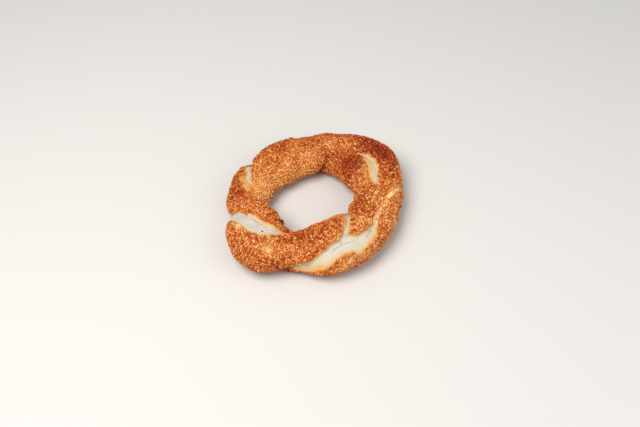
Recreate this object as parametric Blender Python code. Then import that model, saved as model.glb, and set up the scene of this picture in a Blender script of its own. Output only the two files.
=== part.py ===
"""A simit: bread twisted from two strands into a ring, torn open along the twist and covered in sesame.

The ring lies flat, +Z up, on its browned underside at z = 0, with the middle of its outline over the
origin. Ring angles run anticlockwise from +X, seen from above. Section angles run round the strand:
0 faces out of the ring, 90 up, 180 into the hole and 270 down. Both are in degrees.
"""

import math
import random

import bmesh
import bpy
import numpy as np
from mathutils import Matrix, Vector

MM = 0.001

# Ring: how far out the strand's middle line runs and how thick the strand is, every 15 degrees
MIDDLE_LINE_MM = (
    58, 61.5, 65, 66, 66, 66, 62.5, 62.5, 60, 60.5, 61, 61,
    59, 56, 60, 61, 55.5, 52.5, 52.5, 52.5, 52.5, 52, 53, 55,
)
THICKNESS = (
    0.98, 1.01, 1.19, 1.17, 1.03, 0.94, 0.97, 0.98, 0.98, 0.93, 0.93, 0.86,
    0.87, 1.05, 1.15, 1.21, 0.97, 0.93, 1.07, 1.13, 1.14, 1.13, 1.06, 0.99,
)
HALF_WIDTH_MM = 22.0
HALF_HEIGHT_MM = 17.5
FLATTENED_MM = 1.5

# Twist: the line where the two strands meet winds twice round the ring. Ring angle: section angle.
SEAM = {
    293: 60, 306: 47, 322: 46, 342: 58, 360: 80, 368: 90, 384: 82, 398: 94, 415: 124, 432: 155, 448: 215,
    470: 300, 495: 370, 504: 414, 517: 461, 526: 482, 540: 493, 549: 525, 558: 578, 572: 620, 590: 650,
    608: 714, 624: 730, 640: 766, 653: 784, 661: 811, 673: 844, 686: 882, 705: 940, 740: 990, 790: 1055,
    817: 1113, 836: 1178, 872: 1290, 892: 1385, 897: 1418, 902: 1458, 907: 1482, 914: 1500, 918: 1516,
    923: 1540, 930: 1555, 954: 1563, 962: 1575, 968: 1600, 976: 1630, 1000: 1700, 1020: 1760,
}
SEAM_DEPTH = {
    293: 0.3, 306: 0.7, 322: 0.7, 334: 0.4, 358: 0.4, 372: 0.8, 400: 1, 512: 0.9, 538: 0.5, 549: 1.4,
    570: 1, 790: 1, 817: 0.8, 836: 0.35, 860: 0.2, 880: 0.5, 899: 0.95, 910: 0.95, 925: 0.9, 950: 0.6,
    966: 1, 985: 0.9, 1020: 0,
}
GROOVE_MM = 7.0
CREASE_SHARE = 0.55
CREASE_DEG = 13.0
VALLEY_SHARE = 0.5
VALLEY_DEG = 36.0
FILLED_SHARE = 0.55
OPEN_DEG = 8.0
HEADING_STEP_DEG = 8.0

# Tears: how far the split crumb reaches to each side of the seam, in section degrees
TORN_BELOW = {
    293: 33, 300: 35, 308: 25, 318: 19, 326: 6, 330: 0, 366: 0, 376: 1, 384: 5, 396: 6, 403: 0, 498: 0,
    504: 24, 510: 22, 517: 26, 520: 14, 523: 0, 605: 0, 611: 10, 616: 17, 624: 21, 630: 25, 638: 33,
    646: 30, 653: 36, 657: 20, 661: 13, 673: 16, 681: 17, 690: 0, 892: 0, 897: 18, 902: 44, 908: 58,
    914: 60, 920: 60, 926: 61, 933: 60, 940: 54, 951: 38, 959: 20, 965: 5, 968: 0,
}
TORN_ABOVE = {
    293: 14, 300: 10, 306: 4, 318: 5, 326: 2, 330: 0, 366: 0, 369: 16, 376: 26, 385: 30, 391: 25, 398: 15,
    405: 5, 408: 0, 499: 0, 503: 3, 518: 3, 523: 0, 605: 0, 611: 4, 630: 9, 640: 11, 661: 13, 673: 15,
    681: 14, 690: 0, 894: 0, 899: 6, 905: 4, 917: 4, 923: 3, 963: 4, 967: 0,
}
TORN_FLAT_SHARE = 0.8
CRUST_MM = 0.8

# Mesh of the bread
STEPS_ROUND_RING = 100
STEPS_ROUND_STRAND = 28

# Sesame seeds: their stations are places along the seed and how full it is there, as shares
SEED_COUNT = 125
SEED_LENGTH_MM = 3.3
SEED_WIDTH_MM = 2.0
SEED_THICKNESS_MM = 1.3
SEED_STATIONS = ((-0.28, 0.66), (0.05, 0.96), (0.32, 0.80))
SEED_SIDES = 5
SEED_SIZES = (0.85, 1.1)
SEED_SUNK_SHARE = 0.3
LOWEST_SEED_MM = 7.0
SPACING_SHARE = 0.75
TRIES_PER_SEED = 40
RANDOM_SEED = 11

CRUST_COLOUR = (0.56, 0.20, 0.055, 1.0)
CRUST_ROUGHNESS = 0.62


def through(table):
    """A smooth function through a table's points that never overshoots them."""
    x = np.array(sorted(table), float)
    y = np.array([table[key] for key in sorted(table)], float)
    step = np.diff(x)
    slope = np.diff(y) / step
    before, after = slope[:-1], slope[1:]
    total = before + after
    tangent = np.zeros_like(y)
    tangent[1:-1] = np.where(before * after > 0, 2 * before * after / np.where(total == 0, 1, total), 0)
    tangent[0], tangent[-1] = slope[0], slope[-1]

    def value(at):
        at = np.clip(at, x[0], x[-1])
        i = np.clip(np.searchsorted(x, at, side="right") - 1, 0, len(x) - 2)
        u = (at - x[i]) / step[i]
        start = (1 + 2 * u) * (1 - u) ** 2 * y[i] + u * (1 - u) ** 2 * step[i] * tangent[i]
        end = u * u * (3 - 2 * u) * y[i + 1] - u * u * (1 - u) * step[i] * tangent[i + 1]
        return start + end

    return value


def round_the_ring(values):
    """A smooth function of the ring angle through equally spaced values."""
    values = np.array(values, float)
    count = len(values)

    def value(angle):
        place = np.mod(angle, 360) * count / 360
        i = np.floor(place).astype(int)
        u = place - i
        a, b, c, d = (values[(i + shift) % count] for shift in (-1, 0, 1, 2))
        return b + 0.5 * u * (c - a + u * (2 * a - 5 * b + 4 * c - d + u * (3 * (b - c) + d - a)))

    return value


seam_at = through(SEAM)
seam_depth_at = through(SEAM_DEPTH)
torn_below_at = through(TORN_BELOW)
torn_above_at = through(TORN_ABOVE)
middle_line_at = round_the_ring(MIDDLE_LINE_MM)
thickness_at = round_the_ring(THICKNESS)


def twist(ring, section):
    """What the twist does here: its groove's depth as a share of GROOVE_MM, how far split crumb is
    flattened as a share of the radius, and whether the crumb shows."""
    groove = np.zeros(np.shape(ring))
    flattened = np.zeros(np.shape(ring))
    torn = np.zeros(np.shape(ring), bool)
    for lap in range(3):
        along = np.mod(ring, 360) + 360 * lap
        on_seam = (along >= min(SEAM)) & (along <= max(SEAM))
        across = np.mod(section - seam_at(along) + 180, 360) - 180
        below, above = torn_below_at(along) * on_seam, torn_above_at(along) * on_seam
        filled = FILLED_SHARE * np.clip((below + above) / OPEN_DEG, 0, 1)
        crease = CREASE_SHARE * (1 - filled) * np.exp(-((across / CREASE_DEG) ** 2))
        valley = VALLEY_SHARE * np.exp(-((across / VALLEY_DEG) ** 2))
        groove += (np.where(on_seam, seam_depth_at(along), 0) * (crease + valley)) ** 3
        torn |= np.minimum(across + below, above - across) > 0
        half = np.maximum((below + above) / 2, 1)
        from_middle = np.clip((across - (above - below) / 2) / half, -1, 1)
        flattened = np.maximum(flattened, (1 - np.cos(np.radians(half))) * (1 - from_middle**2))
    return np.cbrt(groove), TORN_FLAT_SHARE * flattened, torn


def surface_points(ring, section):
    """Points on the bread in millimetres, before it is centred."""
    thick = thickness_at(ring)
    half_width = HALF_WIDTH_MM * thick
    half_height = HALF_HEIGHT_MM * thick
    turn = np.radians(section)
    radius = 1 / np.hypot(np.cos(turn) / half_width, np.sin(turn) / half_height)
    groove, flattened, torn = twist(ring, section)
    radius = radius * (1 - flattened) - GROOVE_MM * thick * groove - CRUST_MM * torn

    def middle(angle):
        out = middle_line_at(angle)
        return np.stack([out * np.cos(np.radians(angle)), out * np.sin(np.radians(angle))], -1)

    heading = middle(ring + HEADING_STEP_DEG) - middle(ring - HEADING_STEP_DEG)
    heading /= np.linalg.norm(heading, axis=-1, keepdims=True)
    outward = np.stack([heading[..., 1], -heading[..., 0]], -1)
    plan = middle(ring) + outward * (radius * np.cos(turn))[..., None]
    height = half_height - FLATTENED_MM + radius * np.sin(turn)
    return np.concatenate([plan, np.maximum(height, 0)[..., None]], -1)


def skin():
    """The bread's grid of points in metres, centred over the origin, and which of its cells lie in a tear."""
    ring, section = np.meshgrid(
        np.arange(STEPS_ROUND_RING) * 360 / STEPS_ROUND_RING,
        np.arange(STEPS_ROUND_STRAND) * 360 / STEPS_ROUND_STRAND,
        indexing="ij",
    )
    points = surface_points(ring, section)
    low, high = points.min(axis=(0, 1)), points.max(axis=(0, 1))
    points[..., :2] -= (low[:2] + high[:2]) / 2
    _, _, torn = twist(ring + 180 / STEPS_ROUND_RING, section + 180 / STEPS_ROUND_STRAND)
    return points * MM, torn


def triangles_of_cells():
    """Two triangles for each cell of the grid, as (cell, corners)."""
    for i in range(STEPS_ROUND_RING):
        for j in range(STEPS_ROUND_STRAND):
            next_i, next_j = (i + 1) % STEPS_ROUND_RING, (j + 1) % STEPS_ROUND_STRAND
            yield (i, j), ((i, j), (next_i, j), (next_i, next_j))
            yield (i, j), ((i, j), (next_i, next_j), (i, next_j))


def bread_mesh(points):
    """The bread as one closed skin."""
    bm = bmesh.new()
    verts = {place: bm.verts.new(points[place]) for place in np.ndindex(points.shape[:2])}
    for _, corners in triangles_of_cells():
        bm.faces.new([verts[place] for place in corners])
    mesh = bpy.data.meshes.new("simit")
    bm.to_mesh(mesh)
    bm.free()
    return mesh


def seed_mesh():
    """One sesame seed: a flat teardrop of five-sided rings between two tips, along X."""
    bm = bmesh.new()
    tail = bm.verts.new((-0.5 * SEED_LENGTH_MM * MM, 0, 0))
    nose = bm.verts.new((0.5 * SEED_LENGTH_MM * MM, 0, 0))
    rings = []
    for along, girth in SEED_STATIONS:
        ring = []
        for i in range(SEED_SIDES):
            turn = math.tau * (i + 0.25) / SEED_SIDES
            across = SEED_WIDTH_MM / 2 * girth * math.cos(turn)
            up = SEED_THICKNESS_MM / 2 * girth * math.sin(turn)
            ring.append(bm.verts.new((along * SEED_LENGTH_MM * MM, across * MM, up * MM)))
        rings.append(ring)
    for i in range(SEED_SIDES):
        j = (i + 1) % SEED_SIDES
        bm.faces.new((tail, rings[0][j], rings[0][i]))
        bm.faces.new((nose, rings[-1][i], rings[-1][j]))
        for ring, following in zip(rings, rings[1:]):
            bm.faces.new((ring[i], ring[j], following[j], following[i]))
    bmesh.ops.triangulate(bm, faces=bm.faces)
    bmesh.ops.recalc_face_normals(bm, faces=bm.faces)
    mesh = bpy.data.meshes.new("seed")
    bm.to_mesh(mesh)
    bm.free()
    return mesh


def seed_places(points, torn):
    """Places for the seeds, spread evenly over the crust above the base, each as (point, normal)."""
    chance = random.Random(RANDOM_SEED)
    faces = []
    for cell, corners in triangles_of_cells():
        a, b, c = (Vector(points[place]) for place in corners)
        if not torn[cell] and min(a.z, b.z, c.z) > LOWEST_SEED_MM * MM:
            faces.append((a, b - a, c - a))
    areas = [edge.cross(other).length / 2 for _, edge, other in faces]
    spacing = SPACING_SHARE * math.sqrt(sum(areas) / SEED_COUNT)
    places = []
    for corner, edge, other in chance.choices(faces, areas, k=SEED_COUNT * TRIES_PER_SEED):
        u, v = sorted((chance.random(), chance.random()))
        point = corner + u * edge + (v - u) * other
        if all((point - taken).length > spacing for taken, _ in places):
            places.append((point, edge.cross(other).normalized()))
    return places[:SEED_COUNT]


def scatter_seeds(points, torn):
    """Seed objects lying flat on the crust, each turned and sized by chance, the largest first."""
    chance = random.Random(RANDOM_SEED + 1)
    mesh = seed_mesh()
    sizes = sorted((chance.uniform(*SEED_SIZES) for _ in range(SEED_COUNT)), reverse=True)
    seeds = bpy.data.collections.new("seeds")
    for size, (point, normal) in zip(sizes, seed_places(points, torn)):
        turn = Matrix.Rotation(chance.uniform(0, math.tau), 3, "Z")
        lying = (normal.to_track_quat("Z", "Y").to_matrix() @ turn).to_4x4()
        raised = (0.5 - SEED_SUNK_SHARE) * SEED_THICKNESS_MM * MM * size
        seed = bpy.data.objects.new("seed", mesh)
        seed.matrix_world = Matrix.Translation(point + normal * raised) @ lying @ Matrix.Scale(size, 4)
        seeds.objects.link(seed)
    return seeds


def fuse(obj, pieces):
    """Joins a collection's objects to the object and removes them."""
    bpy.context.scene.collection.children.link(pieces)
    union = obj.modifiers.new("fuse", "BOOLEAN")
    union.operation = "UNION"
    union.operand_type = "COLLECTION"
    union.collection = pieces
    union.solver = "MANIFOLD"
    bpy.context.view_layer.objects.active = obj
    bpy.ops.object.modifier_apply(modifier=union.name)
    for piece in list(pieces.objects):
        bpy.data.objects.remove(piece, do_unlink=True)
    bpy.data.collections.remove(pieces)


def centre_over_origin(mesh):
    """Moves the mesh sideways so that the middle of its outline is over the origin."""
    across = [[vertex.co[axis] for vertex in mesh.vertices] for axis in range(2)]
    middle = [(min(values) + max(values)) / 2 for values in across]
    mesh.transform(Matrix.Translation((-middle[0], -middle[1], 0)))


def crust_material():
    material = bpy.data.materials.new("crust")
    material.use_nodes = True
    shader = material.node_tree.nodes["Principled BSDF"]
    shader.inputs["Base Color"].default_value = CRUST_COLOUR
    shader.inputs["Roughness"].default_value = CRUST_ROUGHNESS
    shader.inputs["Metallic"].default_value = 0.0
    return material


def main():
    for obj in list(bpy.data.objects):
        bpy.data.objects.remove(obj, do_unlink=True)
    points, torn = skin()
    simit = bpy.data.objects.new("simit", bread_mesh(points))
    simit.data.materials.append(crust_material())
    bpy.context.scene.collection.objects.link(simit)
    fuse(simit, scatter_seeds(points, torn))
    centre_over_origin(simit.data)


main()
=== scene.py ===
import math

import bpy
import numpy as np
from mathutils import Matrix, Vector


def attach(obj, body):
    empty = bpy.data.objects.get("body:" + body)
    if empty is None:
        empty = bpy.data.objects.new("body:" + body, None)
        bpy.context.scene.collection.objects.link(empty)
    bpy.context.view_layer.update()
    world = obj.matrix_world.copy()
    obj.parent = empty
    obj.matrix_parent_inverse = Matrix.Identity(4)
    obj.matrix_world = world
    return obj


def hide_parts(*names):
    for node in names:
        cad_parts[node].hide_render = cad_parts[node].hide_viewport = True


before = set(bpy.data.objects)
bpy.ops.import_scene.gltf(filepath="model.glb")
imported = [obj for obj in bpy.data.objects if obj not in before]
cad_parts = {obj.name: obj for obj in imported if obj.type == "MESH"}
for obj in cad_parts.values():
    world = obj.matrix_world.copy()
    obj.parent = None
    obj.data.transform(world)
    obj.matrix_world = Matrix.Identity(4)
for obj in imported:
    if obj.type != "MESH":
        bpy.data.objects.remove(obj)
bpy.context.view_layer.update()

# A simit as it comes from the oven: two strands of dough twisted into a ring, dipped, rolled in sesame
# and torn open along the twist while it rose. The ring lies flat, +Z up. Ring angles run anticlockwise
# from +X, seen from above. Section angles run round the strand: 0 faces out of the ring, 90 up, 180
# into the hole and 270 down. Both are in degrees, and lengths ending in MM are millimetres.

MM = 0.001

# The dough: how far out the strand's middle line runs and how thick the strand is, every 15 degrees
RING_CENTRE_MM = (-2.1, -3.58)
MIDDLE_LINE_MM = (
    58, 61.5, 65, 66, 66, 66, 62.5, 62.5, 60, 60.5, 61, 61,
    59, 56, 60, 61, 55.5, 52.5, 52.5, 52.5, 52.5, 52, 53, 55,
)
THICKNESS = (
    0.98, 1.01, 1.19, 1.17, 1.03, 0.94, 0.97, 0.98, 0.98, 0.93, 0.93, 0.86,
    0.87, 1.05, 1.15, 1.21, 0.97, 0.93, 1.07, 1.13, 1.14, 1.13, 1.06, 0.99,
)
HALF_WIDTH_MM = 22.0
HALF_HEIGHT_MM = 17.5
FLATTENED_MM = 1.5
HEADING_STEP_DEG = 8.0

# The twist: the line where the two strands meet winds twice round the ring. Ring angle: section angle.
SEAM = {
    293: 60, 306: 47, 322: 46, 342: 58, 360: 80, 368: 90, 384: 82, 398: 94, 415: 124, 432: 155, 448: 215,
    470: 300, 495: 370, 504: 414, 517: 461, 526: 482, 540: 493, 549: 525, 558: 578, 572: 620, 590: 650,
    608: 714, 624: 730, 640: 766, 653: 784, 661: 811, 673: 844, 686: 882, 705: 940, 740: 990, 790: 1055,
    817: 1113, 836: 1178, 872: 1290, 892: 1385, 897: 1418, 902: 1458, 907: 1482, 914: 1500, 918: 1516,
    923: 1540, 930: 1555, 954: 1563, 962: 1575, 968: 1600, 976: 1630, 1000: 1700, 1020: 1760,
}
SEAM_DEPTH = {
    293: 0.3, 306: 0.7, 322: 0.7, 334: 0.4, 358: 0.4, 372: 0.8, 400: 1, 512: 0.9, 538: 0.5, 549: 1.4,
    570: 1, 790: 1, 817: 0.8, 836: 0.35, 860: 0.2, 880: 0.5, 899: 0.95, 910: 0.95, 925: 0.9, 950: 0.6,
    966: 1, 985: 0.9, 1020: 0,
}
# The seam's ring angles count on past 360, over this many laps
SEAM_LAPS = 3
# The groove along it: its depth, the share and width of its crease and of the valley round that, and how
# far a tear fills the crease
GROOVE_MM = 7.0
CREASE_SHARE, CREASE_DEG = 0.55, 13.0
VALLEY_SHARE, VALLEY_DEG = 0.5, 36.0
FILLED_SHARE = 0.55

# The tears: how far the split crumb reaches to each side of the seam, in section degrees
TORN_BELOW = {
    293: 33, 300: 35, 308: 25, 318: 19, 326: 6, 330: 0, 366: 0, 376: 1, 384: 5, 396: 6, 403: 0, 498: 0,
    504: 24, 510: 22, 517: 26, 520: 14, 523: 0, 605: 0, 611: 10, 616: 17, 624: 21, 630: 25, 638: 33,
    646: 30, 653: 36, 657: 20, 661: 13, 673: 16, 681: 17, 690: 0, 892: 0, 897: 18, 902: 44, 908: 58,
    914: 60, 920: 60, 926: 61, 933: 60, 940: 54, 951: 38, 959: 20, 965: 5, 968: 0,
}
TORN_ABOVE = {
    293: 14, 300: 10, 306: 4, 318: 5, 326: 2, 330: 0, 366: 0, 369: 16, 376: 26, 385: 30, 391: 25, 398: 15,
    405: 5, 408: 0, 499: 0, 503: 3, 518: 3, 523: 0, 605: 0, 611: 4, 630: 9, 640: 11, 661: 13, 673: 15,
    681: 14, 690: 0, 894: 0, 899: 6, 905: 4, 917: 4, 923: 3, 963: 4, 967: 0,
}
# The crust's edge at a tear: the step down to the crumb, the raised lip, how ragged the edge is, how wide
# a tear has to be to open fully, and how flat the torn strand lies
CRUST_MM = 0.8
LIP_MM, LIP_DEG = 0.3, 3.0
RAGGED_DEG = 3.0
OPENED_DEG, CLOSED_DEG = 8.0, 12.0
TORN_EDGE_DEG = (-0.6, 1.4)
CRUMB_EDGE_DEG = (-0.4, 1.2)
TORN_FLAT_SHARE = 0.8
FAR_OUTSIDE_DEG = -90.0
# How far the golden colour reaches from that edge: over the crumb, below and above the seam, and over
# the crust
LOWER_RIM_DEG, UPPER_RIM_DEG = 11.0, 6.5
FRINGE_DEG, FRINGE_END_DEG = 5.0, 40.0
MM_PER_RING_DEG, MM_PER_SECTION_DEG = 1.0, 0.33

# The skin's mesh
RING_STEPS = 480
STRAND_STEPS = 200
UNDERSIDE_MM = 0.4

# Random unevenness, in layers of height, size in millimetres and random seed
RAGGED_LAYERS = ((1.0, 5.5, 1), (0.7, 2.2, 2))
CRUST_LAYERS = ((0.9, 14, 3), (0.5, 5, 4), (0.22, 1.7, 5))
CRUMB_LAYERS = ((0.5, 6, 8),)
FIBRE_LAYERS = ((0.32, 1.5, 9), (0.12, 0.6, 10))
PIT_LAYERS = ((1.0, 1.3, 7),)
BROWN_LAYERS = ((0.14, 19, 31), (0.12, 8, 32))
# Large odd numbers that scatter the lumps, and the bits that they stay in
SCATTER_X, SCATTER_Y, SCATTER_Z = 73856093, 19349663, 83492791
SCATTER_SEED, SCATTER_AGAIN = 40503, 1274126177
ALL_BITS = 0xFFFFFFFF

# The crumb: fibres along the tear, small pits, and a crack that wanders along it and stops in places
FIBRE_LENGTHENED = 4
PITS_ABOVE, PIT_MM = 0.45, 0.7
CRACK_MM, CRACK_BELOW_MM, CRACK_DEPTH_MM = 0.55, 2.6, 0.7
CRACK_WANDER_LAYERS = ((0.9, 1.5, 11),)
CRACK_BREAK_LAYERS = ((1.0, 1.3, 12),)
CRACK_BREAKS = (-0.4, 0.1)

# Where the crust is browner or paler: partly the oven's real browning and partly painted light and shade,
# darker on the far outer sides and in shadowed hollows, lighter on sides facing the camera: ring angle,
# section angle, reach and amount
BROWNED_LIT_AND_SHADED = (
    (5, 40, 9, -0.08), (16, 36, 12, 0.16), (18, 132, 8, -0.24), (31, 122, 7, 0.16), (32, 36, 14, 0.34),
    (32, 66, 8, 0.2), (40, 62, 12, 0.22), (45, 142, 17, 0.43), (48, 46, 14, 0.30), (55, 99, 8, -0.24),
    (65, 99, 8, -0.18), (68, 40, 16, 0.28), (70, 112, 10, -0.06), (79, 98, 9, 0.04), (88, 42, 15, 0.24),
    (88, 142, 12, -0.13), (93, 125, 9, -0.08), (106, 150, 15, -0.08), (107, 42, 15, 0.22),
    (126, 158, 15, -0.14), (127, 35, 14, 0.15), (142, 165, 14, -0.14), (154, 38, 8, 0.20),
    (157, 135, 10, -0.6), (167, 64, 10, 0.24), (171, 50, 12, 0.20), (223, 150, 10, 0.10),
    (226, 34, 8, -0.2), (232, 12, 12, 0.06), (236, 46, 7, -0.22), (255, 110, 12, 0.18),
    (270, 92, 11, 0.26), (288, 5, 12, -0.12), (288, 112, 9, 0.14), (310, 6, 12, -0.10),
    (316, 76, 8, -0.16), (335, 118, 14, 0.14), (340, 20, 12, -0.04), (344, 128, 11, 0.20),
    (348, 88, 8, -0.26),
)
MEAN_BROWN = 0.42
# Darker towards the base, partly the bottom's real browning and partly painted shade under the ring: amount
# at the floor and height in millimetres where it fades out
BASE_BROWN_AND_SHADE, BASE_BROWN_AND_SHADE_MM = 0.4, 16.0

# Where the dough stretched after it was coated, so that few seeds sit there: the same four values
STRETCHED = (
    (157, 60, 4, 0.8), (161, 82, 5, 1.0), (166, 100, 5, 1.0), (172, 120, 4, 0.8), (24, 117, 4, 0.9),
    (233, 44, 4, 0.7), (230, 52, 3, 0.6), (104, 69, 4, 0.5), (300, 8, 5, 0.5), (284, 352, 5, 0.5),
)
# Where it stretched so thin that it stayed pale
PALE = (
    (325, 44, 2.4, 0.9), (328, 50, 2.4, 1.0), (331, 54, 2.4, 1.0), (335, 57, 2.4, 0.9), (338, 58, 2.4, 1.0),
    (342, 58, 2.2, 0.8), (346, 55, 2.2, 0.9), (350, 51, 2.2, 0.8), (355, 53, 2.2, 1.0), (358, 47, 2.4, 1.0),
    (1, 40, 2.6, 1.1), (4, 33, 2.4, 1.0), (7, 27, 2, 0.9), (10, 21, 2, 0.6),
    (285, 0, 1.6, 0.8), (288, 5, 1.6, 1.0), (291, 9, 1.6, 1.0), (293, 12, 1.6, 0.9), (296, 14, 1.6, 0.8),
    (247, 66, 3, 0.7), (233, 45, 3, 0.8), (222, 44, 3, 0.5), (101, 48, 3, 0.7), (44, 110, 3, 0.9),
    (157, 138, 9, 0.35), (210, 50, 4, 0.8), (322, 64, 4, 0.7),
)

# Where the crumb in the tears took some colour as well: the same four values
CRUMB_BROWNED = (
    (26, 100, 10, 0.45), (40, 112, 7, 0.5), (310, 123, 8, 0.5), (272, 9, 9, 0.32),
)

# Sesame seeds: their length, width and thickness, and how much each of these varies
SEED_MM = (2.85, 1.95, 0.95)
SMALLEST_SEED = (0.84, 0.84, 0.85)
LARGEST_SEED = (1.1, 1.12, 1.15)
# The seed's outline, from its tip at -0.5 to its round end at 0.5: place along it and girth
SEED_GIRTHS = ((-0.40, 0.34), (-0.22, 0.72), (0.04, 1.0), (0.28, 0.86), (0.43, 0.48))
SEED_SIDES = 6
SEED_FULLNESS = 0.6
SEED_TIP = (-0.25, -0.5)
# How the seeds lie: their spacing, how far each is tilted, and raised by a share of its thickness
SEED_SPACING_MM = 1.55
SEED_TRIES = 70000
SEED_TILT = 0.22
SEED_RAISED = (0.12, 0.5)
SEEDLESS_EDGE_DEG = (-5.0, -1.0)
SEEDS_ON_CRUMB = 0.0004
THINNED_WHERE_STRETCHED, THINNED_WHERE_PALE = 0.97, 0.98
# What toasts a seed: the crust below it, with the crust's painted light and shade, and chance, and less
# where the crust stayed pale
TOASTED_AND_SHADED_BY_CRUST = 0.78
TOASTED_BY_CHANCE, TOASTED_SPREAD = 0.26, 0.11
SPARED_WHERE_PALE = 0.6
RANDOM_SEED = 7
# The kinds of seed from the least toasted on: share of all seeds, and pale, middle and dark tone in sRGB
SEED_KINDS = {
    "pale_seeds": (0.17, (240, 186, 118), (229, 157, 86), (212, 127, 58)),
    "golden_seeds": (0.33, (232, 155, 79), (218, 128, 56), (195, 98, 36)),
    "toasted_seeds": (0.33, (213, 118, 49), (194, 92, 32), (162, 65, 19)),
    "dark_seeds": (0.17, (188, 74, 22), (163, 55, 12), (128, 41, 9)),
}

# The bread's colours, in sRGB from 0 to 255
CRUST_PALE = (208, 126, 52)
CRUST_GOLDEN = (160, 67, 17)
CRUST_DARK = (104, 33, 7)
CRUST_STRETCHED = (219, 158, 82)
CRUST_THIN = (242, 208, 150)
CRUMB_SHADED = (199, 189, 175)
CRUMB_CREAM = (216, 208, 198)
CRUMB_STRAW = (209, 188, 146)
CRUMB_GOLDEN = (216, 170, 104)
# Painted shade for the crumb's cracks
CRACK_SHADE = (150, 130, 100)

# The photograph's view, with its distances in metres
ELEVATION = math.radians(50)
ROLL = math.radians(-4)
AIM_HEIGHT_MM = 16.0
DISTANCE = 0.80
LENS_MM, SENSOR_MM = 50.0, 36.0
AIM_SHIFT = (-0.0063, 0.00765)

# The studio, in metres
FLOOR_REACH = 3.0
FLOOR_TINT, FLOOR_ROUGHNESS = (0.72, 0.71, 0.69, 1), 0.9
SKY_TINT, SKY_STRENGTH = (1.0, 0.99, 0.97, 1), 0.42


def through(table):
    """A smooth function through a table's points that never overshoots them."""
    x = np.array(sorted(table), float)
    y = np.array([table[key] for key in sorted(table)], float)
    step = np.diff(x)
    slope = np.diff(y) / step
    before, after = slope[:-1], slope[1:]
    total = before + after
    tangent = np.zeros_like(y)
    tangent[1:-1] = np.where(before * after > 0, 2 * before * after / np.where(total == 0, 1, total), 0)
    tangent[0], tangent[-1] = slope[0], slope[-1]

    def value(at):
        at = np.clip(at, x[0], x[-1])
        i = np.clip(np.searchsorted(x, at, side="right") - 1, 0, len(x) - 2)
        u = (at - x[i]) / step[i]
        start = (1 + 2 * u) * (1 - u) ** 2 * y[i] + u * (1 - u) ** 2 * step[i] * tangent[i]
        end = u * u * (3 - 2 * u) * y[i + 1] - u * u * (1 - u) * step[i] * tangent[i + 1]
        return start + end

    return value


def round_the_ring(values):
    """A smooth function of the ring angle through equally spaced values."""
    values = np.array(values, float)
    count = len(values)

    def value(angle):
        place = np.mod(angle, 360) * count / 360
        i = np.floor(place).astype(int)
        u = place - i
        a, b, c, d = (values[(i + shift) % count] for shift in (-1, 0, 1, 2))
        return b + 0.5 * u * (c - a + u * (2 * a - 5 * b + 4 * c - d + u * (3 * (b - c) + d - a)))

    return value


seam_at = through(SEAM)
seam_depth_at = through(SEAM_DEPTH)
torn_below_at = through(TORN_BELOW)
torn_above_at = through(TORN_ABOVE)
middle_line_at = round_the_ring(MIDDLE_LINE_MM)
thickness_at = round_the_ring(THICKNESS)


def smooth(low, high, value):
    """0 at low, 1 at high and a smooth change between, whichever of the two is larger."""
    t = np.clip((value - low) / (high - low), 0, 1)
    return t * t * (3 - 2 * t)


def lumps(points, size, seed):
    """Soft random bumps between -1 and 1 at points in millimetres, about one to each size."""
    place = points / size
    corner = np.floor(place).astype(np.int64)
    part = place - corner
    part = part * part * (3 - 2 * part)
    total = np.zeros(points.shape[:-1])
    for offset in np.ndindex(2, 2, 2):
        x, y, z = np.moveaxis(corner + offset, -1, 0)
        mixed = (x * SCATTER_X ^ y * SCATTER_Y ^ z * SCATTER_Z ^ seed * SCATTER_SEED) & ALL_BITS
        mixed = (mixed ^ mixed >> 13) * SCATTER_AGAIN & ALL_BITS
        value = (mixed ^ mixed >> 16) / ALL_BITS * 2 - 1
        total += np.prod(np.where(offset, part, 1 - part), axis=-1) * value
    return total


def layered(points, layers):
    """The sum of lumps in layers of height, size and random seed."""
    return sum(height * lumps(points, size, seed) for height, size, seed in layers)


def middle(angle):
    """The strand's middle line in plan, in millimetres from the ring's centre."""
    out = middle_line_at(angle)
    return np.stack([out * np.cos(np.radians(angle)), out * np.sin(np.radians(angle))], -1)


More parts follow.
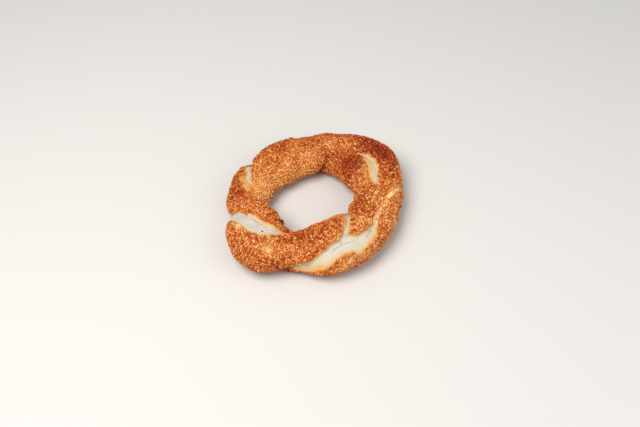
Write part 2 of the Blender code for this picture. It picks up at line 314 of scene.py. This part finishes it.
def dough(ring, section, ragged):
    """The risen dough at these angles: points in millimetres, how far inside a tear each is, in degrees,
    and where it is along and across the nearest tear, in degrees."""
    groove = np.zeros(np.shape(ring))
    inside = np.full(np.shape(ring), FAR_OUTSIDE_DEG)
    along_tear = np.zeros(np.shape(ring))
    across_tear = np.zeros(np.shape(ring))
    flattened = np.zeros(np.shape(ring))
    for lap in range(SEAM_LAPS):
        along = np.mod(ring, 360) + 360 * lap
        on_seam = (along >= min(SEAM)) & (along <= max(SEAM))
        across = np.mod(section - seam_at(along) + 180, 360) - 180
        below = torn_below_at(along) * on_seam
        above = torn_above_at(along) * on_seam
        opened = smooth(0, OPENED_DEG, below + above)
        crease = CREASE_SHARE * (1 - FILLED_SHARE * opened) * np.exp(-((across / CREASE_DEG) ** 2))
        valley = VALLEY_SHARE * np.exp(-((across / VALLEY_DEG) ** 2))
        groove += (np.where(on_seam, seam_depth_at(along), 0) * (crease + valley)) ** 3
        edge = RAGGED_DEG * ragged * opened - CLOSED_DEG * (1 - opened)
        here = np.minimum(across + below, above - across) + edge
        along_tear = np.where(here > inside, along, along_tear)
        across_tear = np.where(here > inside, across, across_tear)
        inside = np.maximum(inside, here)
        half = np.maximum((below + above) / 2, 1)
        from_middle = np.clip((across - (above - below) / 2) / half, -1, 1)
        flattened = np.maximum(flattened, (1 - np.cos(np.radians(half))) * (1 - from_middle**2))
    thick = thickness_at(ring)
    half_width = HALF_WIDTH_MM * thick
    half_height = HALF_HEIGHT_MM * thick
    turn = np.radians(section)
    radius = 1 / np.hypot(np.cos(turn) / half_width, np.sin(turn) / half_height)
    torn = smooth(*TORN_EDGE_DEG, inside)
    lip = np.exp(-(((inside + LIP_DEG) / LIP_DEG) ** 2)) * (1 - torn)
    radius = radius * (1 - TORN_FLAT_SHARE * flattened)
    radius = radius - GROOVE_MM * thick * np.cbrt(groove) - CRUST_MM * torn + LIP_MM * lip
    heading = middle(ring + HEADING_STEP_DEG) - middle(ring - HEADING_STEP_DEG)
    heading /= np.linalg.norm(heading, axis=-1, keepdims=True)
    outward = np.stack([heading[..., 1], -heading[..., 0]], -1)
    plan = middle(ring) + outward * (radius * np.cos(turn))[..., None] + RING_CENTRE_MM
    height = half_height - FLATTENED_MM + radius * np.sin(turn)
    return np.concatenate([plan, height[..., None]], -1), inside, along_tear, across_tear


def normals_of(points):
    """Outward unit normals of the skin's grid."""
    along = np.roll(points, -1, 0) - np.roll(points, 1, 0)
    across = np.roll(points, -1, 1) - np.roll(points, 1, 1)
    normals = np.cross(along, across)
    return normals / (np.linalg.norm(normals, axis=-1, keepdims=True) + 1e-9)


def spots(points, marks):
    """The sum of soft round spots at points in millimetres."""
    total = np.zeros(points.shape[:-1])
    for ring, section, reach, amount in marks:
        spot = dough(np.array([float(ring)]), np.array([float(section)]), 0.0)[0][0]
        total += amount * np.exp(-(((points - spot) ** 2).sum(-1)) / reach**2)
    return total


def skin():
    """The bread's surface as a grid: points, normals, and masks over it."""
    ring, section = np.meshgrid(
        np.arange(RING_STEPS) * 360 / RING_STEPS, np.arange(STRAND_STEPS) * 360 / STRAND_STEPS, indexing="ij"
    )
    plain = dough(ring, section, 0.0)[0]
    points, inside, along, across = dough(ring, section, layered(plain, RAGGED_LAYERS))
    torn = smooth(*CRUMB_EDGE_DEG, inside)

    lengthways = along * MM_PER_RING_DEG / FIBRE_LENGTHENED
    fibres = np.stack([lengthways, across * MM_PER_SECTION_DEG, 0 * along], -1)
    from_crack = across * MM_PER_SECTION_DEG + CRACK_BELOW_MM + layered(fibres, CRACK_WANDER_LAYERS)
    unbroken = smooth(*CRACK_BREAKS, layered(fibres * (1, 0, 0), CRACK_BREAK_LAYERS))
    crack = np.exp(-((from_crack / CRACK_MM) ** 2)) * torn * unbroken
    pits = np.maximum(layered(points, PIT_LAYERS) - PITS_ABOVE, 0)
    crumb_relief = layered(points, CRUMB_LAYERS) + layered(fibres, FIBRE_LAYERS)
    crumb_relief -= PIT_MM * pits + CRACK_DEPTH_MM * crack
    relief = layered(points, CRUST_LAYERS) * (1 - torn) + crumb_relief * torn
    points = points + normals_of(points) * relief[..., None]
    points[..., 2] = np.maximum(points[..., 2], UNDERSIDE_MM)

    # This mask holds the oven's browning together with painted light and shade
    brown_and_shade = MEAN_BROWN + layered(points, BROWN_LAYERS) + spots(points, BROWNED_LIT_AND_SHADED)
    # Painted shade near the base, together with the bottom's browning
    brown_and_shade += BASE_BROWN_AND_SHADE * smooth(BASE_BROWN_AND_SHADE_MM, 0, points[..., 2])
    rim_reach = np.where(across < 0, LOWER_RIM_DEG, UPPER_RIM_DEG)
    rim = np.exp(-np.maximum(inside, 0) / rim_reach) + spots(points, CRUMB_BROWNED)
    return {
        "points": points,
        "normals": normals_of(points),
        "inside": inside,
        "torn": torn,
        "fringe": np.exp(-np.maximum(-inside, 0) / FRINGE_DEG) * (inside > -FRINGE_END_DEG),
        "rim": np.clip(rim, 0, 1),
        "crack": crack,
        "stretched": np.clip(spots(points, STRETCHED), 0, 1),
        "pale": np.clip(spots(points, PALE), 0, 1),
        "brown_and_shade": np.clip(brown_and_shade, 0, 1),
    }


def mesh_of(name, points, faces, **values):
    """An object from arrays of points in millimetres and of faces, with a named value at each point."""
    mesh = bpy.data.meshes.new(name)
    corners = faces.shape[1]
    mesh.vertices.add(len(points))
    mesh.vertices.foreach_set("co", (points * MM).astype(np.float32).ravel())
    mesh.loops.add(faces.size)
    mesh.loops.foreach_set("vertex_index", faces.astype(np.int32).ravel())
    mesh.polygons.add(len(faces))
    mesh.polygons.foreach_set("loop_start", np.arange(len(faces), dtype=np.int32) * corners)
    for key, value in values.items():
        layer = mesh.attributes.new(key, "FLOAT", "POINT")
        layer.data.foreach_set("value", np.asarray(value, np.float32).ravel())
    mesh.update(calc_edges=True)
    mesh.shade_smooth()
    obj = bpy.data.objects.new(name, mesh)
    bpy.context.scene.collection.objects.link(obj)
    return obj


def bake_bread(surface):
    """The bread: one closed skin over the grid."""
    index = np.arange(RING_STEPS * STRAND_STEPS).reshape(RING_STEPS, STRAND_STEPS)
    ahead = np.roll(index, -1, 0)
    faces = np.stack([index, ahead, np.roll(ahead, -1, 1), np.roll(index, -1, 1)], -1).reshape(-1, 4)
    masks = {key: surface[key] for key in ("torn", "fringe", "rim", "crack", "stretched", "pale", "brown_and_shade")}
    return mesh_of("bread", surface["points"].reshape(-1, 3), faces, **masks)


def seed_form():
    """One sesame seed of unit length, width and thickness along X, Y and Z: points, triangles, tip mask."""
    points = [(-0.5, 0, 0)]
    for along, girth in SEED_GIRTHS:
        for i in range(SEED_SIDES):
            turn = math.tau * i / SEED_SIDES
            width = girth * math.cos(turn) / 2
            thickness = girth**SEED_FULLNESS * math.sin(turn) / 2
            points.append((along, width, thickness))
    points.append((0.5, 0, 0))
    nose = len(points) - 1
    faces = []
    for i in range(SEED_SIDES):
        j = (i + 1) % SEED_SIDES
        faces.append((0, 1 + j, 1 + i))
        last = nose - SEED_SIDES
        faces.append((nose, last + i, last + j))
        for k in range(len(SEED_GIRTHS) - 1):
            a = 1 + k * SEED_SIDES
            b = a + SEED_SIDES
            faces.append((a + i, a + j, b + j))
            faces.append((a + i, b + j, b + i))
    points = np.array(points)
    return points, np.array(faces), smooth(*SEED_TIP, points[:, 0])


def read(grid, place):
    """A grid's values at fractional places on it. The grid closes on itself both ways."""
    low = np.floor(place).astype(int)
    u, v = (place - low).T
    i, j = low[:, 0] % RING_STEPS, low[:, 1] % STRAND_STEPS
    next_i, next_j = (i + 1) % RING_STEPS, (j + 1) % STRAND_STEPS
    if grid.ndim == 3:
        u, v = u[:, None], v[:, None]
    near = grid[i, j] * (1 - u) + grid[next_i, j] * u
    far = grid[i, next_j] * (1 - u) + grid[next_i, next_j] * u
    return near * (1 - v) + far * v


def seed_spots(surface, chance):
    """Spots for the seeds, close together but spread evenly, as grid places with their fractions."""
    points = surface["points"]
    along = np.linalg.norm(np.roll(points, -1, 0) - points, axis=-1)
    across = np.linalg.norm(np.roll(points, -1, 1) - points, axis=-1)
    bare = smooth(*SEEDLESS_EDGE_DEG, surface["inside"])
    stretched = THINNED_WHERE_STRETCHED * surface["stretched"]
    pale = THINNED_WHERE_PALE * surface["pale"]
    thinned = np.maximum(stretched, pale)
    weight = along * across * (1 - (1 - SEEDS_ON_CRUMB) * bare) * (1 - thinned)
    cells = chance.choice(weight.size, SEED_TRIES, p=weight.ravel() / weight.sum())
    i, j = np.divmod(cells, STRAND_STEPS)
    place = np.stack([i, j], -1) + chance.random((SEED_TRIES, 2))
    at = read(points, place)
    taken = {}
    kept = []
    for k, spot in enumerate(at):
        cell = tuple((spot // SEED_SPACING_MM).astype(int))
        near = (
            other
            for dx in (-1, 0, 1)
            for dy in (-1, 0, 1)
            for dz in (-1, 0, 1)
            for other in taken.get((cell[0] + dx, cell[1] + dy, cell[2] + dz), ())
        )
        if all(math.dist(spot, other) > SEED_SPACING_MM for other in near):
            taken.setdefault(cell, []).append(spot)
            kept.append(k)
    return place[kept]


def sow_seeds(surface):
    """Covers the crust in sesame, one object for each kind of seed."""
    chance = np.random.default_rng(RANDOM_SEED)
    place = seed_spots(surface, chance)
    count = len(place)
    spot = read(surface["points"], place)
    normal = read(surface["normals"], place)
    normal = normal + SEED_TILT * chance.normal(size=(count, 3))
    normal /= np.linalg.norm(normal, axis=-1, keepdims=True)
    lengthways = np.cross(normal, chance.normal(size=(count, 3)))
    lengthways /= np.linalg.norm(lengthways, axis=-1, keepdims=True)
    sideways = np.cross(normal, lengthways)
    size = np.array(SEED_MM) * chance.uniform(SMALLEST_SEED, LARGEST_SEED, (count, 3))
    raised = chance.uniform(*SEED_RAISED, count) * size[:, 2]

    form, form_faces, form_tip = seed_form()
    x, y, z = (form[None, :, axis] * size[:, axis, None] for axis in range(3))
    points = (
        (spot + normal * raised[:, None])[:, None]
        + x[..., None] * lengthways[:, None]
        + y[..., None] * sideways[:, None]
        + z[..., None] * normal[:, None]
    )
    points[..., 2] = np.maximum(points[..., 2], 0)

    # The crust's painted light and shade pass on to the seeds over it
    toast_and_shade = TOASTED_AND_SHADED_BY_CRUST * read(surface["brown_and_shade"], place)
    toast_and_shade = toast_and_shade + TOASTED_BY_CHANCE * chance.random(count) + TOASTED_SPREAD * chance.normal(size=count)
    toast_and_shade -= SPARED_WHERE_PALE * read(surface["pale"], place)
    order = np.argsort(toast_and_shade)
    last_kind = list(SEED_KINDS)[-1]
    start = 0
    seeds = []
    for kind, (share, *_) in SEED_KINDS.items():
        end = count if kind == last_kind else start + int(round(share * count))
        chosen = order[start:end]
        start = end
        faces = form_faces[None] + np.arange(len(chosen))[:, None, None] * len(form)
        tone = np.repeat(chance.random(len(chosen)), len(form))
        tip = np.tile(form_tip, len(chosen))
        seeds.append(
            mesh_of(kind, points[chosen].reshape(-1, 3), faces.reshape(-1, 3), tone=tone, tip=tip)
        )
    return seeds


def colour(red, green, blue):
    """An sRGB colour from 0 to 255 as the linear values that a shader takes."""
    channels = (value / 255 for value in (red, green, blue))
    return (*(c / 12.92 if c <= 0.04045 else ((c + 0.055) / 1.055) ** 2.4 for c in channels), 1.0)


class Bench:
    """Places nodes in a node tree in rows and joins them."""

    COLUMN_WIDTH = 220
    ROW_HEIGHT = 260
    NODES_IN_ROW = 8
    # Where a Mix node keeps its colours: its inputs' and its output's numbers
    FIRST_COLOUR, SECOND_COLOUR, MIXED_COLOUR = 6, 7, 2

    def __init__(self, tree):
        self.tree = tree
        self.placed = 0

    def add(self, kind, settings=None, **inputs):
        node = self.tree.nodes.new(kind)
        row, column = divmod(self.placed, self.NODES_IN_ROW)
        node.location = (self.COLUMN_WIDTH * column, -self.ROW_HEIGHT * row)
        self.placed += 1
        for key, value in (settings or {}).items():
            setattr(node, key, value)
        for key, value in inputs.items():
            self.feed(node.inputs[key.replace("_", " ")], value)
        return node

    def feed(self, socket, value):
        if isinstance(value, bpy.types.NodeSocket):
            self.tree.links.new(value, socket)
        else:
            socket.default_value = value

    def mix(self, share, first, second):
        node = self.add("ShaderNodeMix", {"data_type": "RGBA"})
        self.feed(node.inputs["Factor"], share)
        self.feed(node.inputs[self.FIRST_COLOUR], first)
        self.feed(node.inputs[self.SECOND_COLOUR], second)
        return node.outputs[self.MIXED_COLOUR]

    def maths(self, operation, first, second):
        node = self.add("ShaderNodeMath", {"operation": operation})
        self.feed(node.inputs[0], first)
        self.feed(node.inputs[1], second)
        return node.outputs[0]

    def value_of(self, attribute):
        return self.add("ShaderNodeAttribute", {"attribute_name": attribute}).outputs["Fac"]

    def stretch(self, value, low=0.0, high=1.0, to_low=0.0, to_high=1.0):
        node = self.add("ShaderNodeMapRange", {"clamp": True})
        for socket, given in zip(node.inputs, (value, low, high, to_low, to_high)):
            self.feed(socket, given)
        return node.outputs["Result"]


def group_of(name, inputs, outputs):
    """An empty shader node group with named sockets: (group, bench, what it takes in, what it puts out)."""
    group = bpy.data.node_groups.new(name, "ShaderNodeTree")
    for key, kind, default in inputs:
        socket = group.interface.new_socket(name=key, in_out="INPUT", socket_type=kind)
        socket.default_value = default
    for key, kind in outputs:
        group.interface.new_socket(name=key, in_out="OUTPUT", socket_type=kind)
    bench = Bench(group)
    taken = group.nodes.new("NodeGroupInput")
    given = group.nodes.new("NodeGroupOutput")
    return group, bench, taken.outputs, given.inputs


def toasting_group():
    """Browns a surface from pale through golden to dark, patchily, as an oven does."""
    number, tint = "NodeSocketFloat", "NodeSocketColor"
    group, bench, taken, given = group_of(
        "toasting",
        (
            ("Pale", tint, colour(235, 190, 130)),
            ("Golden", tint, colour(205, 125, 60)),
            ("Dark", tint, colour(120, 50, 18)),
            ("Toast", number, 0.5),
            ("Patch Scale", number, 300.0),
            ("Patch Strength", number, 0.3),
        ),
        (("Color", tint),),
    )
    place = bench.add("ShaderNodeTexCoord").outputs["Object"]
    patches = bench.add(
        "ShaderNodeTexNoise", Vector=place, Scale=taken["Patch Scale"], Detail=3.0, Roughness=0.6
    )
    uneven = bench.maths("SUBTRACT", patches.outputs["Fac"], 0.5)
    swing = bench.maths("MULTIPLY", uneven, taken["Patch Strength"])
    toast = bench.maths("ADD", taken["Toast"], swing)
    golden = bench.mix(bench.stretch(toast, high=0.5), taken["Pale"], taken["Golden"])
    dark = bench.mix(bench.stretch(toast, low=0.5), golden, taken["Dark"])
    bench.feed(given["Color"], dark)
    return group


def grain_group():
    """Fine unevenness for a bump, and a roughness that follows it."""
    number = "NodeSocketFloat"
    group, bench, taken, given = group_of(
        "baked_grain",
        (("Scale", number, 900.0), ("Smoothest", number, 0.4), ("Roughest", number, 0.7)),
        (("Height", number), ("Roughness", number)),
    )
    place = bench.add("ShaderNodeTexCoord").outputs["Object"]
    grain = bench.add("ShaderNodeTexNoise", Vector=place, Scale=taken["Scale"], Detail=4.0, Roughness=0.65)
    height = grain.outputs["Fac"]
    roughness = bench.stretch(height, 0.3, 0.7, to_low=taken["Smoothest"], to_high=taken["Roughest"])
    bench.feed(given["Height"], height)
    bench.feed(given["Roughness"], roughness)
    return group


def material_of(name):
    """A fresh material: (material, bench, Principled shader)."""
    material = bpy.data.materials.new(name)
    material.use_nodes = True
    bench = Bench(material.node_tree)
    return material, bench, material.node_tree.nodes["Principled BSDF"]


def placed_group(bench, group, **inputs):
    """The output sockets of a group placed in a material, with underscores in its inputs' names."""
    node = bench.add("ShaderNodeGroup", {"node_tree": group}, **inputs)
    return node.outputs


def bread_finish(toasting, grain):
    """Glazed crust under the seeds, golden where the dough stretched open, cream crumb in the tears."""
    material, bench, shader = material_of("bread")
    # The toast carries the oven's browning together with painted light and shade
    baked = placed_group(
        bench,
        toasting,
        Pale=colour(*CRUST_PALE),
        Golden=colour(*CRUST_GOLDEN),
        Dark=colour(*CRUST_DARK),
        Toast=bench.value_of("brown_and_shade"),
        Patch_Scale=420.0,
        Patch_Strength=0.5,
    )
    fine_grain = placed_group(bench, grain, Scale=900.0, Smoothest=0.38, Roughest=0.62)
    place = bench.add("ShaderNodeTexCoord").outputs["Object"]
    noise = bench.add("ShaderNodeTexNoise", Vector=place, Scale=520.0, Detail=5.0, Roughness=0.7)
    cells = noise.outputs["Fac"]

    fringe = bench.stretch(bench.value_of("fringe"), low=0.4, high=0.95)
    opened = bench.maths("MAXIMUM", fringe, bench.value_of("stretched"))
    crust = bench.mix(opened, baked["Color"], colour(*CRUST_STRETCHED))
    thin = bench.maths("MULTIPLY", bench.value_of("pale"), cells)
    crust = bench.mix(bench.stretch(thin, low=0.15, high=0.36), crust, colour(*CRUST_THIN))

    airy = bench.stretch(cells, low=0.36, high=0.6)
    crumb = bench.mix(airy, colour(*CRUMB_SHADED), colour(*CRUMB_CREAM))
    # Painted shade darkens the crumb along its cracks
    crumb = bench.mix(bench.stretch(bench.value_of("crack"), to_high=0.6), crumb, colour(*CRACK_SHADE))
    rim = bench.value_of("rim")
    crumb = bench.mix(bench.stretch(rim, low=0.15, high=0.75), crumb, colour(*CRUMB_STRAW))
    crumb = bench.mix(bench.stretch(rim, low=0.75), crumb, colour(*CRUMB_GOLDEN))

    torn = bench.value_of("torn")
    roughness = bench.stretch(torn, to_low=fine_grain["Roughness"], to_high=0.85)
    bump = bench.add("ShaderNodeBump", Height=fine_grain["Height"], Strength=0.5, Distance=0.0005)
    shader.inputs["Specular IOR Level"].default_value = 0.3
    bench.feed(shader.inputs["Base Color"], bench.mix(torn, crust, crumb))
    bench.feed(shader.inputs["Roughness"], roughness)
    bench.feed(shader.inputs["Normal"], bump.outputs["Normal"])
    return material


def seed_finish(name, pale, golden, dark, toasting, grain):
    """A seed's skin: each seed has its own tone, darker at its pointed tip."""
    material, bench, shader = material_of(name)
    tip = bench.maths("MULTIPLY", bench.value_of("tip"), 0.35)
    tone = bench.maths("ADD", bench.value_of("tone"), tip)
    baked = placed_group(
        bench,
        toasting,
        Pale=pale,
        Golden=golden,
        Dark=dark,
        Toast=tone,
        Patch_Scale=700.0,
        Patch_Strength=0.35,
    )
    fine_grain = placed_group(bench, grain, Scale=1800.0, Smoothest=0.45, Roughest=0.7)
    bump = bench.add("ShaderNodeBump", Height=fine_grain["Height"], Strength=0.3, Distance=0.0002)
    shader.inputs["Specular IOR Level"].default_value = 0.25
    bench.feed(shader.inputs["Base Color"], baked["Color"])
    bench.feed(shader.inputs["Roughness"], fine_grain["Roughness"])
    bench.feed(shader.inputs["Normal"], bump.outputs["Normal"])
    return material


def set_camera():
    """Looks down on the ring at the photograph's angle, with the ring left of and above the middle."""
    back = Vector((0, -math.cos(ELEVATION), math.sin(ELEVATION)))
    level_right = Vector((1, 0, 0))
    level_up = back.cross(level_right)
    right = math.cos(ROLL) * level_right + math.sin(ROLL) * level_up
    up = math.cos(ROLL) * level_up - math.sin(ROLL) * level_right
    aim = Vector((RING_CENTRE_MM[0], RING_CENTRE_MM[1], AIM_HEIGHT_MM)) * MM
    eye = aim + back * DISTANCE - right * AIM_SHIFT[0] - up * AIM_SHIFT[1]
    data = bpy.data.cameras.new("camera")
    data.lens, data.sensor_width = LENS_MM, SENSOR_MM
    camera = bpy.data.objects.new("camera", data)
    turned = Matrix((right, up, back)).transposed().to_4x4()
    camera.matrix_world = Matrix.Translation(eye) @ turned
    bpy.context.scene.collection.objects.link(camera)
    bpy.context.scene.camera = camera


def soft_light(name, size, power, place, tint=(1, 1, 1)):
    """A round area light at a place, aimed at the middle of the floor."""
    data = bpy.data.lights.new(name, "AREA")
    data.shape = "DISK"
    data.size = size
    data.energy = power
    data.color = tint
    lamp = bpy.data.objects.new(name, data)
    lamp.location = place
    lamp.rotation_euler = Vector(place).to_track_quat("Z", "Y").to_euler()
    bpy.context.scene.collection.objects.link(lamp)


def set_studio():
    """A plain pale floor under soft light."""
    mesh = bpy.data.meshes.new("floor")
    corners = [(x * FLOOR_REACH, y * FLOOR_REACH, 0) for x, y in ((-1, -1), (1, -1), (1, 1), (-1, 1))]
    mesh.from_pydata(corners, [], [(0, 1, 2, 3)])
    floor = bpy.data.objects.new("floor", mesh)
    material, _, shader = material_of("floor")
    shader.inputs["Base Color"].default_value = FLOOR_TINT
    shader.inputs["Roughness"].default_value = FLOOR_ROUGHNESS
    mesh.materials.append(material)
    bpy.context.scene.collection.objects.link(floor)
    soft_light("key", size=0.7, power=8.5, place=(-0.35, -0.25, 0.9), tint=(1.0, 0.98, 0.95))
    soft_light("fill", size=0.9, power=3, place=(0.7, -0.5, 0.6))
    world = bpy.data.worlds.new("studio")
    world.use_nodes = True
    sky = world.node_tree.nodes["Background"]
    sky.inputs["Color"].default_value = SKY_TINT
    sky.inputs["Strength"].default_value = SKY_STRENGTH
    bpy.context.scene.world = world
    bpy.context.scene.view_settings.view_transform = "Standard"


set_camera()
set_studio()
surface = skin()
toasting, grain = toasting_group(), grain_group()
bread = bake_bread(surface)
bread.data.materials.append(bread_finish(toasting, grain))
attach(bread, "root")
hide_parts("simit")

for seeds in sow_seeds(surface):
    tones = (colour(*tone) for tone in SEED_KINDS[seeds.name][1:])
    seeds.data.materials.append(seed_finish(seeds.name, *tones, toasting, grain))
    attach(seeds, "root")
    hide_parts("simit")
